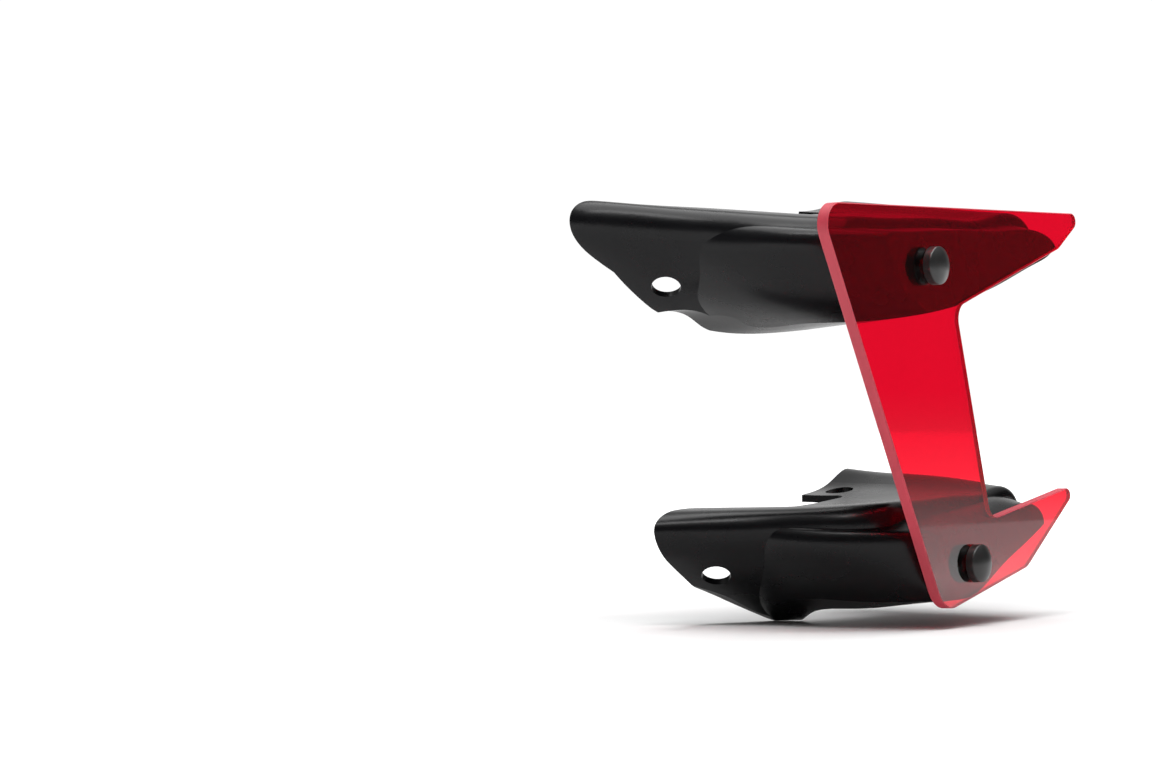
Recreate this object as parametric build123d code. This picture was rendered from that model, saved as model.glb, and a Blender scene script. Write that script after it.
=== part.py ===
from build123d import *
import os

os.makedirs("parts", exist_ok=True)

# Left-hand motorcycle winglet: a clear end plate carrying two thin-walled black wings.
# Millimetres. X is forward, Y is outboard (left), Z is up.
# The outer face of the end plate is Y = 0 and its lowest corner is near the origin.

# ---- driving dimensions: end plate -------------------------------------------------
PLATE_T = 5.0
PLATE_EDGE = 0.4
PLATE_CORNERS = [
    (95.6, 159.6, 9.0),     # top front
    (0.0, 0.0, 13.0),       # foot
    (-69.2, 19.1, 10.0),    # underside bend
    (-116.1, 55.1, 3.0),    # lower arm tip
    (-38.3, 38.5, 7.0),     # inner corner, lower arm
    (-10.5, 123.9, 7.0),    # inner corner, upper arm
    (-97.7, 153.9, 9.0),    # underside bend of the upper arm
    (-121.3, 170.4, 3.5),   # upper arm tip
]

# ---- driving dimensions: wings -----------------------------------------------------
WALL = 3.0                  # formed sheet thickness
TIP_ROUND = 4.5             # rolled outboard edge of the deck
PAD_ROUND = 2.0
ROOT_END_Y = -120.0         # lofts run past the root and are trimmed
HEM_TIP_Y = -8.0            # span station of the tip hem line
HEM_ROOT_Y = -95.0          # span station of the root hem line
FLANGE_HOLE_D = 12.0
TAB_HOLE_D = 12.0
CUT_DEPTH = 8.0             # half length of a hole cutter
SKIN_JOINTS = [3, 6, 10]    # section points where one face of the skin hands over to the next

# ---- driving dimensions: fasteners -------------------------------------------------
UPPER_SCREW = (9.3, 140.0)
LOWER_SCREW = (-24.2, 20.4)
CLEAR_D = 6.6               # hole through plate and wing for an M6 screw
SCREW_D = 6.0
HEAD_D = 10.5
HEAD_H = 3.3
HEX_AF = 4.0
HEX_DEPTH = 2.0
SHANK_L = 18.0
CUP_D = 13.7
CUP_BASE_T = 1.0
CUP_RIM_H = 3.2
CUP_RIM_T = 0.9
CAP_D = 15.5
CAP_RIM_H = 3.6
CAP_H = 6.2
CAP_DOME_R = 12.85          # outside radius of the domed crown
CAP_WALL = 0.8
CAP_SHOULDER_R = 0.8
CAP_LIFT = 0.2              # cap rim to plate
CAP_FIT = 0.05              # cap bore to cup rim, radial
WASHER_D = 12.0
WASHER_T = 1.6
NUT_AF = 10.0
NUT_BODY_H = 4.6
NUT_COLLAR_H = 1.6
NUT_COLLAR_D = 9.2
INSERT_D = 8.2
INSERT_H = 1.3

# ---- wing sections -----------------------------------------------------------------
# Each section runs from the rear wall, over the deck and round the nose to the front skirt.
UPPER_BASE_Z = 100.0
UPPER_DECK = [
    (-21.0, [(-109, 155), (-109, 162), (-103, 167.2), (-71, 165.6), (-40, 163.7), (-12, 162),
             (14, 160.3), (34, 159), (41.5, 157), (45.5, 152.5), (45, 146), (40, 136.5), (30, 127), (12, 116)]),
    (-36.0, [(-109, 156), (-109, 163.5), (-103, 168.8), (-71, 167), (-40, 164.9), (-12, 162.9),
             (18, 161), (49, 159.2), (56, 157), (59.5, 152.4), (58.5, 146), (52.5, 136.5), (41, 127), (17, 115)]),
    (-60.0, [(-109, 158), (-109, 167), (-103, 171.8), (-71, 170), (-40, 167.5), (-12, 164.6),
             (20, 162.8), (60, 161.5), (67, 159.4), (70, 154.5), (68.8, 148), (62, 138.5), (50, 129), (22, 114)]),
    (-85.0, [(-108, 161), (-108, 170.5), (-102, 175.2), (-70, 172.8), (-40, 169.3), (-12, 166.2),
             (20, 164.2), (71, 163.8), (78.4, 161.8), (81.8, 157), (80.8, 150), (73.5, 140), (61, 130.5), (30, 113)]),
    (-104.0, [(-107, 162.5), (-107, 173), (-101, 177.6), (-70, 174.8), (-40, 170.8), (-12, 167.2),
              (20, 165.1), (83, 165.6), (91.5, 164.2), (95.8, 158.6), (94, 150.4), (86, 141.4), (72.5, 130.6), (40, 114.5)]),
    (-120.0, [(-106, 163), (-106, 175), (-100, 179.5), (-70, 176.4), (-40, 172), (-12, 168.2),
              (20, 166), (86, 167), (94.4, 165.6), (98.4, 159.4), (96.6, 151), (89, 142), (76, 131.4), (44, 115.5)]),
]
UPPER_BOSS = [
    (-5.1, [(-101, 150), (-98, 156), (-92, 159), (-60, 159.6), (-24, 157), (7, 154.6), (28, 152.8),
            (36, 151.8), (40, 149.4), (39.8, 145), (35, 138), (28, 131), (19, 125.5), (5, 120)]),
    (-12.0, [(-103, 151), (-101, 158), (-94, 161), (-60, 160), (-24, 157.6), (7, 155.3), (32, 153.4),
             (43, 152.6), (48, 150.2), (48.3, 145.6), (44, 137.5), (36, 129.5), (26, 123.5), (9, 118)]),
    (-24.0, [(-105, 152), (-103, 160), (-96, 163), (-60, 160.6), (-24, 158.2), (7, 156.2), (36, 154),
             (51, 153.4), (57.5, 151.2), (58.8, 146.8), (54, 138), (46, 129), (35, 122), (16, 116)]),
    (-45.0, [(-101, 150), (-97, 156), (-90, 158), (-60, 156), (-24, 154), (7, 153), (38, 153),
             (58, 155), (66, 153.2), (67.6, 148.4), (63, 138.5), (54, 129), (42, 121.5), (20, 114.5)]),
    (-70.0, [(-99, 150), (-95, 154), (-88, 155), (-60, 153), (-24, 151), (7, 151), (40, 152),
             (62, 156), (70.5, 155), (72, 150), (67.5, 139.5), (57.5, 129.5), (44, 121.5), (22, 113)]),
    (-96.0, [(-99, 150), (-95, 154), (-88, 155), (-60, 153), (-24, 151), (7, 151), (38, 151),
             (58, 152.5), (67, 152.4), (68, 148.5), (63, 139.5), (53, 129.5), (40, 121), (20, 112)]),
]
UPPER_HEM_TIP = [(-130, 176), (-109, 161.6), (-103.6, 155), (-84.8, 146.4), (-55.6, 136.7), (-35.1, 130.8),
                 (-9.4, 124.8), (7, 122), (23.4, 119.6), (39, 120), (56, 124.5), (80, 133), (120, 148)]
UPPER_HEM_ROOT = [(-130, 182), (-109, 166), (-103, 159), (-85, 150), (-56, 137), (-35, 128),
                  (-9, 117), (8, 112.6), (26, 114.4), (40, 120.2), (52, 123.4), (62, 125.4), (120, 140)]
UPPER_PLAN = [(120, -122), (98.8, -114.5), (93, -111.5), (82, -105.4), (71.5, -103.6), (60, -102), (48, -99),
              (24, -91), (0, -84), (-24, -79), (-46, -77), (-50, -80), (-51, -101)]
UPPER_CORNER = (-107, -101, 10)
UPPER_FLANGE_HOLE = ((65.6, -91.0, 132.6), (0.594, 0.282, -0.755))

LOWER_BASE_Z = -20.0
LOWER_DECK = [
    (-20.0, [(-99, 40), (-99, 47.5), (-94, 51.8), (-72, 50.4), (-49, 49), (-28, 47.6), (-12, 46.6),
             (-2, 45.8), (5, 43.8), (8.6, 39.4), (8, 33), (2, 23), (-8, 14), (-24, 4)]),
    (-36.0, [(-99, 42), (-99, 49.5), (-94, 53.8), (-72, 51.8), (-48, 49.2), (-25, 47), (-4, 45.4),
             (13, 44.2), (20, 42), (23.4, 37.6), (22.4, 31), (15.5, 21.5), (5, 13), (-16, 0.5)]),
    (-60.0, [(-99, 45), (-99, 52.5), (-94, 57), (-72, 54), (-47, 49.2), (-23, 46.1), (2, 44.2),
             (22, 43), (28.8, 40.6), (31.2, 36), (30, 30), (23, 21), (12, 13), (-12, -2)]),
    (-80.0, [(-99, 48), (-99, 55), (-94, 59), (-74, 54.8), (-49, 49), (-26, 45.5), (2, 43.5),
             (31, 42.5), (38.4, 40), (41.8, 35.5), (40.5, 29), (33, 21), (21, 12.5), (-6, -4)]),
    (-102.0, [(-99, 50), (-99, 57.5), (-94, 61.6), (-76, 56), (-51, 49.6), (-28, 45.2), (3, 43.2),
              (42, 42.3), (51.4, 40), (57.4, 35), (54.4, 26.5), (43.6, 18.4), (30, 10.6), (4, -5)]),
]
LOWER_BOSS = [
    (-5.1, [(-88, 34), (-86.5, 41), (-80, 45), (-60, 41.6), (-36, 36.9), (-20, 35), (-8, 33.6),
            (-2, 32.6), (2, 30), (1.7, 26.4), (-3, 18.5), (-9.5, 11), (-18, 5), (-32, -1)]),
    (-12.0, [(-90, 35), (-88.5, 43.5), (-81, 46.8), (-60, 44.3), (-36, 40.6), (-18, 38), (-2, 35.6),
             (6, 33.8), (11.5, 31), (11.6, 27), (7.5, 19), (0, 10.5), (-10, 3), (-26, -4)]),
    (-24.0, [(-92, 37), (-90.5, 45.5), (-83, 48.6), (-60, 46.4), (-36, 43.6), (-14, 40.8), (4, 37.6),
             (14, 34.8), (20, 32.2), (20.8, 28), (17, 20), (8, 11), (-4, 2.5), (-22, -5)]),
    (-45.0, [(-90, 37), (-88, 42), (-81, 44), (-60, 42), (-36, 40), (-12, 38.5), (8, 37.5),
             (22, 35.6), (28.6, 33.3), (29.8, 28.8), (25.5, 20.5), (15.5, 11), (1, 1), (-18, -7)]),
    (-68.0, [(-90, 37), (-88, 41), (-81, 42), (-60, 40), (-36, 38), (-12, 37), (8, 37),
             (23, 37), (30.6, 35), (31.6, 30.4), (27, 21), (16, 9), (1, -1.5), (-20, -10)]),
    (-92.0, [(-90, 37), (-88, 41), (-81, 42), (-60, 40), (-36, 38), (-12, 37), (6, 36.5),
             (20, 36.5), (28, 34.5), (28.6, 30), (23, 20), (12, 8), (-3, -3), (-22, -12)]),
]
LOWER_HEM_TIP = [(-124, 62), (-99, 49.8), (-94, 42), (-84.7, 35.8), (-69.1, 28.5), (-48.8, 19.2),
                 (-35.1, 11.6), (-25.1, 7.9), (-15.4, 6.6), (-2.4, 6.6), (12, 9), (30, 14.5), (90, 36)]
LOWER_HEM_ROOT = [(-124, 66), (-99, 53), (-94, 45), (-85, 37), (-69, 24), (-49, 10),
                  (-35, 1), (-22, -5), (-10, -5.2), (4, 0), (18, 6.6), (31, 11.6), (90, 38)]
LOWER_PLAN = [(90, -103), (57.4, -102.4), (44, -102.2), (29, -101.6), (16, -96), (2, -88),
              (-12, -82), (-26, -78.6), (-44, -76), (-49, -78), (-52, -82), (-53, -101)]
LOWER_CORNER = (-99, -101, 9)
LOWER_FLANGE_HOLE = ((30.9, -89.9, 15.5), (0.509, 0.275, -0.815))
LOWER_TAB_HOLE = ((-64.0, -89.0, 53.4), (0.25, 0.13, 0.96))


def inset(points, amount):
    """Move every point of an open chain towards the inside of the section."""
    moved = []
    for i, (x, z) in enumerate(points):
        before = points[max(i - 1, 0)]
        after = points[min(i + 1, len(points) - 1)]
        along = Vector(after[0] - before[0], after[1] - before[1], 0).normalized()
        moved.append((x + along.Y * amount, z - along.X * amount))
    return moved


def section_wire(y, points, base_z):
    """Closed wire at one span station: a smooth skin in four lengths, closed by straight lines below."""
    line = Edge.make_spline([Vector(x, y, z) for x, z in points])
    ends = [0] + SKIN_JOINTS + [len(points) - 1]
    spots = [Vector(points[i][0], y, points[i][1]) for i in ends]
    skin = [line.trim(p, q) for p, q in zip(spots, spots[1:])]
    first = points[0]
    last = points[-1]
    down = Edge.make_line(Vector(last[0], y, last[1]), Vector(last[0], y, base_z))
    across = Edge.make_line(Vector(last[0], y, base_z), Vector(first[0], y, base_z))
    up = Edge.make_line(Vector(first[0], y, base_z), Vector(first[0], y, first[1]))
    return Wire(skin + [down, across, up])


def extended(stations, y_end):
    """Add one more station by carrying the last two on in a straight line."""
    (y_a, pts_a), (y_b, pts_b) = stations[-2:]
    k = (y_end - y_b) / (y_b - y_a)
    pts = [(xb + (xb - xa) * k, zb + (zb - za) * k) for (xa, za), (xb, zb) in zip(pts_a, pts_b)]
    return stations + [(y_end, pts)]


def skin_solid(stations, base_z, amount=0.0):
    """Loft through the stations; with an amount it is the hollow inside the wall."""
    wires = []
    for i, (y, points) in enumerate(stations):
        station_y = y - amount if i == 0 else y
        pts = inset(points, amount) if amount else points
        wires.append(section_wire(station_y, pts, base_z))
    return Solid.make_loft(wires)


def end_edges(solid, y):
    """Edges lying wholly on the outboard end of a lofted body."""
    return [e for e in solid.edges() if abs(e.center().Y - y) < 0.01 and e.geom_type == GeomType.BSPLINE]


def hem_cutter(tip, root, base_z):
    """Everything below the trimmed lower edge of a wing; the two lines are at the tip and near the root."""
    (y_out, pts_out), (y_in, pts_in) = extended([(HEM_TIP_Y, tip), (HEM_ROOT_Y, root)], -135.0)[::2]
    wires = [section_wire(y_out + 10, pts_out, base_z - 30), section_wire(y_in, pts_in, base_z - 30)]
    return Solid.make_loft(wires, True)


def root_trim(plan, corner, z_low, z_high):
    """Prism that removes the metal inboard of the root edge, leaving a rounded rear corner."""
    x, y, r = corner
    mid = Vector(x + r * 0.293, y + r * 0.293, z_low)
    arc = Edge.make_three_point_arc(Vector(x + r, y, z_low), mid, Vector(x, y + r, z_low))
    inner = [Vector(px, py, z_low) for px, py in plan] + [Vector(x + r, y, z_low)]
    outer = [Vector(x, y + r, z_low), Vector(x - 40, y + r, z_low), Vector(x - 40, -160, z_low)]
    outer += [Vector(plan[0][0], -160, z_low), inner[0]]
    lines = [Edge.make_line(p, q) for p, q in zip(inner, inner[1:])]
    lines += [Edge.make_line(p, q) for p, q in zip(outer, outer[1:])]
    return Solid.extrude(Face(Wire(lines + [arc])), Vector(0, 0, z_high - z_low))


def cross_hole(centre, axis, diameter):
    """Cylinder centred on a hole, along its axis."""
    spot = Plane(origin=centre, z_dir=axis)
    return spot * Cylinder(diameter / 2, 2 * CUT_DEPTH)


def along_y(x, z, y_from, y_to, radius):
    """Cylinder along Y between two stations."""
    spot = Plane(origin=(x, y_from, z), z_dir=(0, 1 if y_to > y_from else -1, 0))
    return spot * Cylinder(radius, abs(y_to - y_from), align=(Align.CENTER, Align.CENTER, Align.MIN))


def build_plate():
    outline = Wire.make_polygon([Vector(x, 0, z) for x, z, r in PLATE_CORNERS], close=True)
    slab = Solid.extrude(Face(outline), Vector(0, -PLATE_T, 0))
    for x, z, r in PLATE_CORNERS:
        upright = [e for e in slab.edges() if abs(e.center().X - x) < 0.5 and abs(e.center().Z - z) < 0.5]
        slab = slab.fillet(r, upright)
    faces = [f for f in slab.faces() if abs(f.normal_at().Y) > 0.99]
    rims = [e for f in faces for e in f.edges()]
    slab = slab.chamfer(PLATE_EDGE, None, rims)
    for x, z in (UPPER_SCREW, LOWER_SCREW):
        slab = slab - along_y(x, z, 1, -PLATE_T - 1, CLEAR_D / 2)
    return slab


def build_wing(deck, boss, base_z, hems, plan, corner, screw, holes):
    outer_deck = skin_solid(deck, base_z)
    outer_deck = outer_deck.fillet(TIP_ROUND, end_edges(outer_deck, deck[0][0]))
    outer_boss = skin_solid(boss, base_z)
    outer_boss = outer_boss.fillet(PAD_ROUND, end_edges(outer_boss, boss[0][0]))
    inner = skin_solid(deck, base_z, WALL) + skin_solid(boss, base_z, WALL)
    shell = (outer_deck + outer_boss) - inner
    shell = shell - hem_cutter(hems[0], hems[1], base_z)
    shell = shell - root_trim(plan, corner, base_z - 30, base_z + 100)
    for centre, axis, diameter in holes:
        shell = shell - cross_hole(centre, axis, diameter)
    shell = shell - along_y(screw[0], screw[1], 0, -12, CLEAR_D / 2)
    return shell


def build_cup(x, z):
    """Dished washer under the screw head; its raised rim holds the snap cap."""
    base = along_y(x, z, 0, CUP_BASE_T, CUP_D / 2)
    rim = along_y(x, z, CUP_BASE_T, CUP_RIM_H, CUP_D / 2) - along_y(x, z, 0, 9, CUP_D / 2 - CUP_RIM_T)
    return (base + rim) - along_y(x, z, -1, 9, CLEAR_D / 2)


def build_screw(x, z):
    """Button-head screw with a hexagon socket and a plain shank."""
    head = along_y(x, z, CUP_BASE_T, CUP_BASE_T + HEAD_H, HEAD_D / 2)
    crown = [e for e in head.edges() if abs(e.center().Y - CUP_BASE_T - HEAD_H) < 0.01]
    head = head.fillet(HEAD_H * 0.72, crown)
    top = Plane(origin=(x, CUP_BASE_T + HEAD_H, z), z_dir=(0, -1, 0))
    hexagon = top * RegularPolygon(HEX_AF / 2, 6, major_radius=False)
    socket = extrude(hexagon, HEX_DEPTH)
    cone = top * Cone(HEX_AF / 2 + 1.0, HEX_AF / 2 - 0.2, 0.8, align=(Align.CENTER, Align.CENTER, Align.MIN))
    shank = along_y(x, z, CUP_BASE_T, CUP_BASE_T - SHANK_L, SCREW_D / 2)
    end = [e for e in shank.edges() if abs(e.center().Y - CUP_BASE_T + SHANK_L) < 0.01]
    shank = shank.chamfer(0.6, None, end)
    return (head + shank) - socket - cone


def build_cap(x, z):
    """Domed snap cap that covers the head and grips the cup rim."""
    centre = Pos(x, CAP_H - CAP_DOME_R, z)
    body = along_y(x, z, CAP_LIFT, CAP_H, CAP_D / 2) & (centre * Sphere(CAP_DOME_R))
    shoulder = [e for e in body.edges() if abs(e.center().Y - CAP_RIM_H) < 0.2]
    body = body.fillet(CAP_SHOULDER_R, shoulder)
    bore_r = CUP_D / 2 + CAP_FIT
    bore = along_y(x, z, 0, CAP_RIM_H - 0.3, bore_r)
    crown = along_y(x, z, CAP_RIM_H - 0.31, CAP_H, bore_r - 0.9) & (centre * Sphere(CAP_DOME_R - CAP_WALL))
    return body - bore - crown


def build_washer(x, z):
    face_y = -PLATE_T - 0.1 - WALL
    disc = along_y(x, z, face_y, face_y - WASHER_T, WASHER_D / 2)
    rims = [e for e in disc.edges() if e.geom_type == GeomType.CIRCLE]
    disc = disc.chamfer(0.2, None, rims)
    return disc - along_y(x, z, 0, -20, SCREW_D / 2 + 0.2)


def build_nut(x, z):
    """Hexagon body with the round collar that holds the locking insert."""
    face_y = -PLATE_T - 0.1 - WALL - WASHER_T
    seat = Plane(origin=(x, face_y, z), z_dir=(0, -1, 0))
    body = extrude(seat * RegularPolygon(NUT_AF / 2, 6, major_radius=False), NUT_BODY_H)
    cone_r = NUT_AF / 2 + 0.25
    cone = seat * Cone(cone_r, cone_r + NUT_BODY_H, NUT_BODY_H, align=(Align.CENTER, Align.CENTER, Align.MIN))
    body = body & cone
    collar_y = face_y - NUT_BODY_H
    collar = along_y(x, z, collar_y, collar_y - NUT_COLLAR_H, NUT_COLLAR_D / 2)
    seat_cut = along_y(x, z, collar_y, collar_y - 5, INSERT_D / 2)
    return (body + collar) - seat_cut - along_y(x, z, 0, -30, SCREW_D / 2 + 0.02)


def build_insert(x, z):
    start = -PLATE_T - 0.1 - WALL - WASHER_T - NUT_BODY_H
    ring = along_y(x, z, start, start - INSERT_H, INSERT_D / 2)
    return ring - along_y(x, z, 0, -30, SCREW_D / 2 + 0.01)


def save(shape, name):
    """Write one node with the part's origin at the upper flange hole."""
    back = Location(Vector(*UPPER_FLANGE_HOLE[0]) * -1)
    export_step(shape.moved(back), f"parts/{name}.step")


def main():
    save(build_plate(), "end_plate")
    upper = build_wing(UPPER_DECK, UPPER_BOSS, UPPER_BASE_Z, (UPPER_HEM_TIP, UPPER_HEM_ROOT), UPPER_PLAN,
                       UPPER_CORNER, UPPER_SCREW, [(*UPPER_FLANGE_HOLE, FLANGE_HOLE_D)])
    save(upper, "upper_wing")
    lower_deck = extended(LOWER_DECK, ROOT_END_Y)
    lower = build_wing(lower_deck, LOWER_BOSS, LOWER_BASE_Z, (LOWER_HEM_TIP, LOWER_HEM_ROOT), LOWER_PLAN,
                       LOWER_CORNER, LOWER_SCREW,
                       [(*LOWER_FLANGE_HOLE, FLANGE_HOLE_D), (*LOWER_TAB_HOLE, TAB_HOLE_D)])
    save(lower, "lower_wing")
    for side, (x, z) in (("upper", UPPER_SCREW), ("lower", LOWER_SCREW)):
        save(build_cap(x, z), f"{side}_snap_cap")
        save(build_cup(x, z), f"{side}_cup_washer")
        save(build_screw(x, z), f"{side}_button_screw")
        save(build_washer(x, z), f"{side}_flat_washer")
        save(build_nut(x, z), f"{side}_lock_nut")
        save(build_insert(x, z), f"{side}_nut_insert")


main()
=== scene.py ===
import math

import bpy
from mathutils import Matrix, Vector


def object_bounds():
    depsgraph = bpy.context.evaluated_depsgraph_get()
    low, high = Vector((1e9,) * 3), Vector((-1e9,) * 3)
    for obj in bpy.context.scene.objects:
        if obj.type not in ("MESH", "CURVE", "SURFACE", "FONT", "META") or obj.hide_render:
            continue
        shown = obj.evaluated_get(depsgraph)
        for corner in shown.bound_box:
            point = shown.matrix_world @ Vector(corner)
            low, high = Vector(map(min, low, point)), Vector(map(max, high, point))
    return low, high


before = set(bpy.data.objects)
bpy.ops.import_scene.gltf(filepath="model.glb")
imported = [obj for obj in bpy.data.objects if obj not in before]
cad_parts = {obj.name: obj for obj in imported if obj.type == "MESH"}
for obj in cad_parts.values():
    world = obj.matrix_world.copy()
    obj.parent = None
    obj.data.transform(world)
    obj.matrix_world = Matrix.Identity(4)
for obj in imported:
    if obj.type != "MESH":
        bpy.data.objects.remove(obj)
cad_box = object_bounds()

# Metres. +X forward, +Y outboard, +Z up, as in the CAD model.
LOW, HIGH = cad_box
CENTRE = (LOW + HIGH) / 2
UP = Vector((0.0, 0.0, 1.0))

# The photograph's view: from the front and outboard, almost level.
LOOK = Vector((-0.8154, -0.5770, 0.0468)).normalized()
CAMERA_AT = (1.3376, 0.9018, -0.1155)
SENSOR_MM = 36.0
LENS_MM = 125.0
CLIP = (0.05, 50.0)

# The floor falls towards the camera, so that the soft shadow under the wing shows.
FLOOR_Z = LOW.z
FLOOR_TILT = math.radians(3.5)
FLOOR_RADII = (0.4, 1.0, 2.2, 3.0)
FLOOR_SIDES = 96
FLOOR_GLOW_REACH = (0.25, 0.8)
FLOOR_GLOW = (0.0, 0.9)

# The surround, by the direction of a ray. An edge goes from dark to bright, between two
# cosines for the card and the panel, and between two heights for the ceiling.
WHITE_LEVEL = 1.05
CARD_STOPS = [(-1.0, 1.0), (0.010, 1.0), (0.023, 0.25), (0.043, 0.03)]  # height, brightness
CARD_EDGE = (0.80, 0.92)
CARD_TOWARDS = Vector((LOOK.x, -LOOK.y, 0.0)).normalized()
PANEL_EDGE = (0.70, 0.93)
PANEL_LEVEL = (0.0, 0.95)
CEILING_EDGE = (0.45, 1.0)
CEILING_LEVEL = (0.04, 1.0)

# Name, place from the floor under the middle of the object, width and depth, watts.
LAMPS = [
    ("overhead", (0.0, 0.0, 1.1), (1.2, 0.9), 12.0),
    ("strip", (0.25, 0.35, 0.95), (1.0, 0.14), 4.0),
]

# Clear acrylic. The faces across Y are polished, and what turns away from Y is cut edge.
ACRYLIC_IOR = 1.49
CUT_EDGE_FACING = (0.97, 0.85)
CLEARNESS = (1.0, 0.45)
CUT_EDGE_COLOUR = (0.80, 0.07, 0.11)
CUT_EDGE_ROUGHNESS = 0.55

# Every surface. Noise scales are in cells per metre.
NOISE_ROUGHNESS = 0.55
NOISE_MIDDLE = (0.3, 0.7)
RELIEF_STRENGTH = 0.6
STEEL_RELIEF = 0.00001


# ---- node helpers ------------------------------------------------------------------
def map_range(tree, value, source, target=(0.0, 1.0)):
    """Value from one range onto another, held at its ends."""
    node = tree.nodes.new("ShaderNodeMapRange")
    node.inputs["From Min"].default_value, node.inputs["From Max"].default_value = source
    node.inputs["To Min"].default_value, node.inputs["To Max"].default_value = target
    tree.links.new(value, node.inputs["Value"])
    return node.outputs["Result"]


def combine(tree, operation, first, second):
    """Math node on two values."""
    node = tree.nodes.new("ShaderNodeMath")
    node.operation = operation
    tree.links.new(first, node.inputs[0])
    tree.links.new(second, node.inputs[1])
    return node.outputs["Value"]


def against(tree, operation, vector, fixed):
    """Vector math node on a vector and a fixed one."""
    node = tree.nodes.new("ShaderNodeVectorMath")
    node.operation = operation
    node.inputs[1].default_value = fixed
    tree.links.new(vector, node.inputs[0])
    return node.outputs["Value"]


def noise(tree, scale, detail=4.0):
    """Noise in object space, in metres, so it keeps its size on every piece."""
    place = tree.nodes.new("ShaderNodeTexCoord")
    tex = tree.nodes.new("ShaderNodeTexNoise")
    tex.inputs["Scale"].default_value = scale
    tex.inputs["Detail"].default_value = detail
    tex.inputs["Roughness"].default_value = NOISE_ROUGHNESS
    tree.links.new(place.outputs["Object"], tex.inputs["Vector"])
    return tex.outputs["Fac"]


def vary(tree, source, socket, low, high):
    """Spread a texture's middle values over a small range and feed it to a socket."""
    tree.links.new(map_range(tree, source, NOISE_MIDDLE, (low, high)), socket)


def tint(tree, source, socket, dark, light):
    """Mix two close colours by a texture."""
    mix = tree.nodes.new("ShaderNodeMix")
    mix.data_type = "RGBA"
    mix.inputs["A"].default_value = (*dark, 1.0)
    mix.inputs["B"].default_value = (*light, 1.0)
    tree.links.new(source, mix.inputs["Factor"])
    tree.links.new(mix.outputs["Result"], socket)


def bump(tree, shader, source, height):
    """Fine surface relief, height in metres."""
    relief = tree.nodes.new("ShaderNodeBump")
    relief.inputs["Strength"].default_value = RELIEF_STRENGTH
    relief.inputs["Distance"].default_value = height
    tree.links.new(source, relief.inputs["Height"])
    tree.links.new(relief.outputs["Normal"], shader.inputs["Normal"])


# ---- materials ---------------------------------------------------------------------
def new_material(name, colour, roughness, metallic=0.0):
    """Principled material with its uniform values on the shader's own sockets."""
    mat = bpy.data.materials.new(name)
    mat.use_nodes = True
    shader = mat.node_tree.nodes["Principled BSDF"]
    shader.inputs["Base Color"].default_value = (*colour, 1.0)
    shader.inputs["Roughness"].default_value = roughness
    shader.inputs["Metallic"].default_value = metallic
    return mat, mat.node_tree, shader


def satin_plastic(name, dark, light, low, high, grain, height, level):
    """Plastic with a roughness from low to high and a fine grain of the given height."""
    mat, tree, shader = new_material(name, light, high)
    shader.inputs["Specular IOR Level"].default_value = level
    tint(tree, noise(tree, 60.0), shader.inputs["Base Color"], dark, light)
    vary(tree, noise(tree, 35.0), shader.inputs["Roughness"], low, high)
    bump(tree, shader, noise(tree, grain, 2.0), height)
    return mat


def steel(name, dark, light, low, high):
    """Bare or plated steel with a roughness from low to high."""
    mat, tree, shader = new_material(name, light, high, 1.0)
    tint(tree, noise(tree, 400.0), shader.inputs["Base Color"], dark, light)
    vary(tree, noise(tree, 900.0), shader.inputs["Roughness"], low, high)
    bump(tree, shader, noise(tree, 2500.0), STEEL_RELIEF)
    return mat


def edge_mask(tree):
    """0 on the two broad faces of a plate that stands across Y, 1 on its cut edges."""
    facing = tree.nodes.new("ShaderNodeNewGeometry")
    split = tree.nodes.new("ShaderNodeSeparateXYZ")
    size = tree.nodes.new("ShaderNodeMath")
    size.operation = "ABSOLUTE"
    tree.links.new(facing.outputs["Normal"], split.inputs["Vector"])
    tree.links.new(split.outputs["Y"], size.inputs[0])
    return map_range(tree, size.outputs["Value"], CUT_EDGE_FACING)


def clear_red():
    """Tinted cast acrylic: clear broad faces and a finely milled, lighter cut edge."""
    mat, tree, shader = new_material("clear_red_acrylic", (0.78, 0.0008, 0.02), 0.02)
    shader.inputs["IOR"].default_value = ACRYLIC_IOR
    mask = edge_mask(tree)
    clear = map_range(tree, mask, (0.0, 1.0), CLEARNESS)
    tree.links.new(clear, shader.inputs["Transmission Weight"])
    tone = tree.nodes.new("ShaderNodeMix")
    tone.data_type = "RGBA"
    tone.inputs["B"].default_value = (*CUT_EDGE_COLOUR, 1.0)
    tint(tree, noise(tree, 12.0), tone.inputs["A"], (0.77, 0.0007, 0.019), (0.80, 0.0009, 0.021))
    tree.links.new(mask, tone.inputs["Factor"])
    tree.links.new(tone.outputs["Result"], shader.inputs["Base Color"])
    gloss = tree.nodes.new("ShaderNodeMix")
    gloss.inputs["B"].default_value = CUT_EDGE_ROUGHNESS
    vary(tree, noise(tree, 25.0), gloss.inputs["A"], 0.01, 0.035)
    tree.links.new(mask, gloss.inputs["Factor"])
    tree.links.new(gloss.outputs["Result"], shader.inputs["Roughness"])
    return mat


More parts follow.
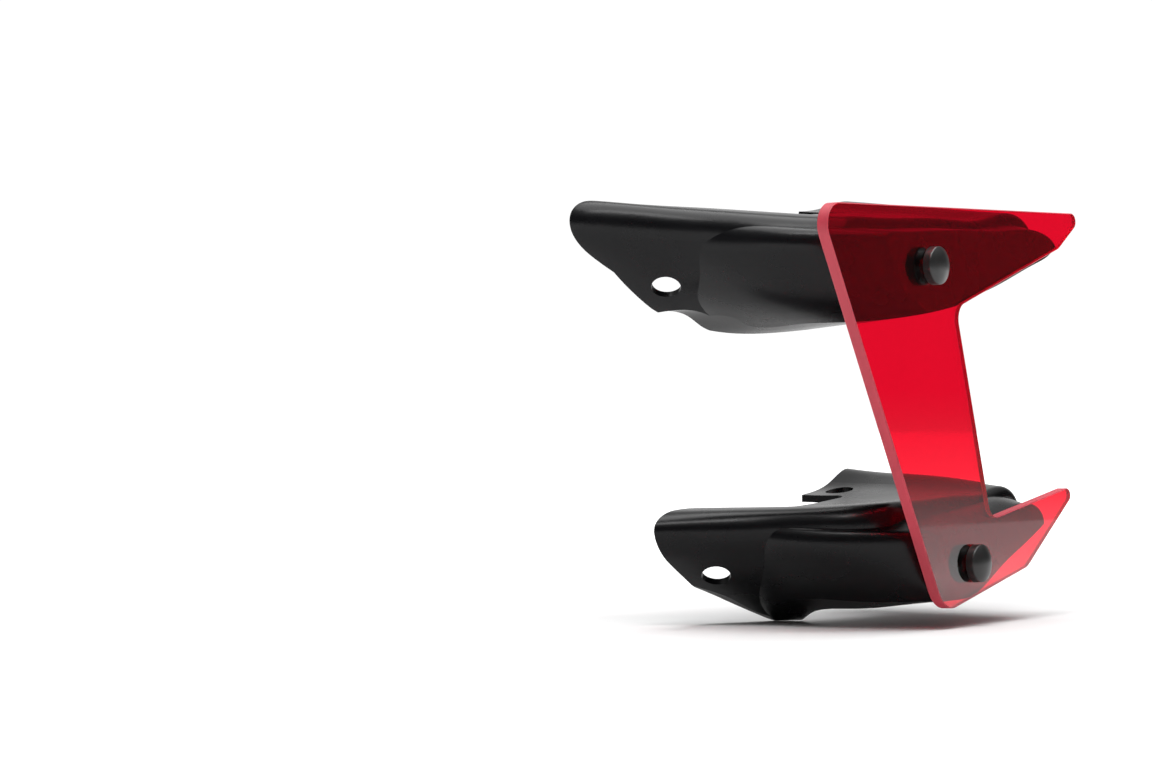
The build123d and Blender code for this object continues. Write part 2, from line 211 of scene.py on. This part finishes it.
def dress():
    """One material on each of the CAD nodes, none of which is replaced."""
    abs_sheet = satin_plastic(
        "black_abs_sheet", dark=(0.003, 0.003, 0.0035), light=(0.006, 0.006, 0.007),
        low=0.24, high=0.31, grain=1800.0, height=0.000012, level=0.2)
    black_nylon = satin_plastic(
        "black_nylon", dark=(0.012, 0.012, 0.012), light=(0.02, 0.02, 0.02),
        low=0.30, high=0.38, grain=2600.0, height=0.00001, level=0.5)
    blue_nylon = satin_plastic(
        "blue_nylon", dark=(0.03, 0.11, 0.42), light=(0.05, 0.15, 0.5),
        low=0.35, high=0.45, grain=2600.0, height=0.00001, level=0.5)
    dark_steel = steel("dark_screw_steel", (0.16, 0.155, 0.15), (0.26, 0.25, 0.24), 0.24, 0.34)
    zinc = steel("zinc_plated_steel", (0.55, 0.55, 0.56), (0.68, 0.68, 0.69), 0.22, 0.32)
    looks = {"end_plate": clear_red()}
    for side in ("upper", "lower"):
        looks[side + "_wing"] = abs_sheet
        looks[side + "_snap_cap"] = black_nylon
        looks[side + "_cup_washer"] = black_nylon
        looks[side + "_button_screw"] = dark_steel
        looks[side + "_flat_washer"] = zinc
        looks[side + "_lock_nut"] = zinc
        looks[side + "_nut_insert"] = blue_nylon
    for node, material in looks.items():
        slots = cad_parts[node].data.materials
        slots.clear()
        slots.append(material)


# ---- floor, light, camera ----------------------------------------------------------
def floor_material():
    """Pale matt floor that glows more and more away from the object, into the white."""
    mat, tree, shader = new_material("studio_floor", (0.75, 0.75, 0.75), 0.9)
    shader.inputs["Specular IOR Level"].default_value = 0.0
    tint(tree, noise(tree, 3.0), shader.inputs["Base Color"],
         (0.845, 0.845, 0.845), (0.855, 0.855, 0.855))
    place = tree.nodes.new("ShaderNodeTexCoord")
    away = against(tree, "DISTANCE", place.outputs["Object"], (CENTRE.x, CENTRE.y, FLOOR_Z))
    glow = map_range(tree, away, FLOOR_GLOW_REACH, FLOOR_GLOW)
    tree.links.new(glow, shader.inputs["Emission Strength"])
    shader.inputs["Emission Color"].default_value = (1.0, 1.0, 1.0, 1.0)
    return mat


def backdrop():
    """Flat round floor, tilted about the lowest point of the lower wing, which rests on it."""
    points = []
    for radius in FLOOR_RADII:
        for i in range(FLOOR_SIDES):
            turn = 2 * math.pi * i / FLOOR_SIDES
            points.append((CENTRE.x + radius * math.cos(turn),
                           CENTRE.y + radius * math.sin(turn), FLOOR_Z))
    faces = [list(range(FLOOR_SIDES))]
    for start in range(0, len(points) - FLOOR_SIDES, FLOOR_SIDES):
        for i in range(FLOOR_SIDES):
            j = (i + 1) % FLOOR_SIDES
            faces.append([start + i, start + FLOOR_SIDES + i, start + FLOOR_SIDES + j, start + j])
    mesh = bpy.data.meshes.new("studio_floor")
    mesh.from_pydata(points, [], faces)
    mesh.update()
    mesh.materials.append(floor_material())
    floor = bpy.data.objects.new("studio_floor", mesh)
    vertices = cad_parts["lower_wing"].data.vertices
    pivot = Matrix.Translation(min((v.co for v in vertices), key=lambda co: co.z))
    tilt = Matrix.Rotation(FLOOR_TILT, 4, LOOK.cross(UP))
    floor.matrix_world = pivot @ tilt @ pivot.inverted()
    bpy.context.scene.collection.objects.link(floor)


def area_light(name, offset, size, power):
    """Rectangular lamp that faces the middle of the object."""
    place = (CENTRE.x + offset[0], CENTRE.y + offset[1], FLOOR_Z + offset[2])
    data = bpy.data.lights.new(name, "AREA")
    data.shape = "RECTANGLE"
    data.size, data.size_y = size
    data.energy = power
    lamp = bpy.data.objects.new(name, data)
    lamp.location = place
    lamp.rotation_euler = (CENTRE - Vector(place)).to_track_quat("-Z", "Y").to_euler()
    bpy.context.scene.collection.objects.link(lamp)


def low_card(tree, direction, height):
    """Bright card at and below the horizon, to the rear left of the part, right in the picture."""
    ramp = tree.nodes.new("ShaderNodeValToRGB")
    while len(ramp.color_ramp.elements) < len(CARD_STOPS):
        ramp.color_ramp.elements.new(0.5)
    for element, (rise, level) in zip(ramp.color_ramp.elements, CARD_STOPS):
        element.position = (rise + 1.0) / 2.0
        element.color = (level, level, level, 1.0)
    tree.links.new(map_range(tree, height, (-1.0, 1.0)), ramp.inputs["Fac"])
    width = map_range(tree, against(tree, "DOT_PRODUCT", direction, CARD_TOWARDS), CARD_EDGE)
    return combine(tree, "MULTIPLY", ramp.outputs["Color"], width)


def room_level(tree):
    """Brightness of a dark room: the low card, a panel straight ahead and a soft ceiling."""
    place = tree.nodes.new("ShaderNodeTexCoord")
    direction = place.outputs["Generated"]
    split = tree.nodes.new("ShaderNodeSeparateXYZ")
    tree.links.new(direction, split.inputs["Vector"])
    height = split.outputs["Z"]
    panel = map_range(tree, against(tree, "DOT_PRODUCT", direction, LOOK), PANEL_EDGE, PANEL_LEVEL)
    ceiling = map_range(tree, height, CEILING_EDGE, CEILING_LEVEL)
    rest = combine(tree, "MAXIMUM", low_card(tree, direction, height), ceiling)
    return combine(tree, "MAXIMUM", rest, panel)


def studio_light():
    """White to the camera and through the clear plate, and a darker room to other rays."""
    world = bpy.data.worlds.new("studio")
    world.use_nodes = True
    bpy.context.scene.world = world
    bpy.context.scene.view_settings.view_transform = "Standard"
    tree = world.node_tree
    plain = tree.nodes["Background"]
    plain.inputs["Color"].default_value = (1.0, 1.0, 1.0, 1.0)
    plain.inputs["Strength"].default_value = WHITE_LEVEL
    room = tree.nodes.new("ShaderNodeBackground")
    tree.links.new(room_level(tree), room.inputs["Color"])
    path = tree.nodes.new("ShaderNodeLightPath")
    seen = combine(tree, "MAXIMUM", path.outputs["Is Camera Ray"], path.outputs["Is Transmission Ray"])
    both = tree.nodes.new("ShaderNodeMixShader")
    tree.links.new(seen, both.inputs["Fac"])
    tree.links.new(room.outputs["Background"], both.inputs[1])
    tree.links.new(plain.outputs["Background"], both.inputs[2])
    tree.links.new(both.outputs["Shader"], tree.nodes["World Output"].inputs["Surface"])
    for lamp in LAMPS:
        area_light(*lamp)


def camera():
    """The photograph's camera, upright, looking along LOOK."""
    data = bpy.data.cameras.new("camera")
    data.sensor_width = SENSOR_MM
    data.lens = LENS_MM
    data.clip_start, data.clip_end = CLIP
    cam = bpy.data.objects.new("camera", data)
    right = LOOK.cross(UP).normalized()
    turn = Matrix((right, right.cross(LOOK), -LOOK)).transposed().to_4x4()
    cam.matrix_world = Matrix.Translation(CAMERA_AT) @ turn
    bpy.context.scene.collection.objects.link(cam)
    bpy.context.scene.camera = cam


dress()
backdrop()
studio_light()
camera()
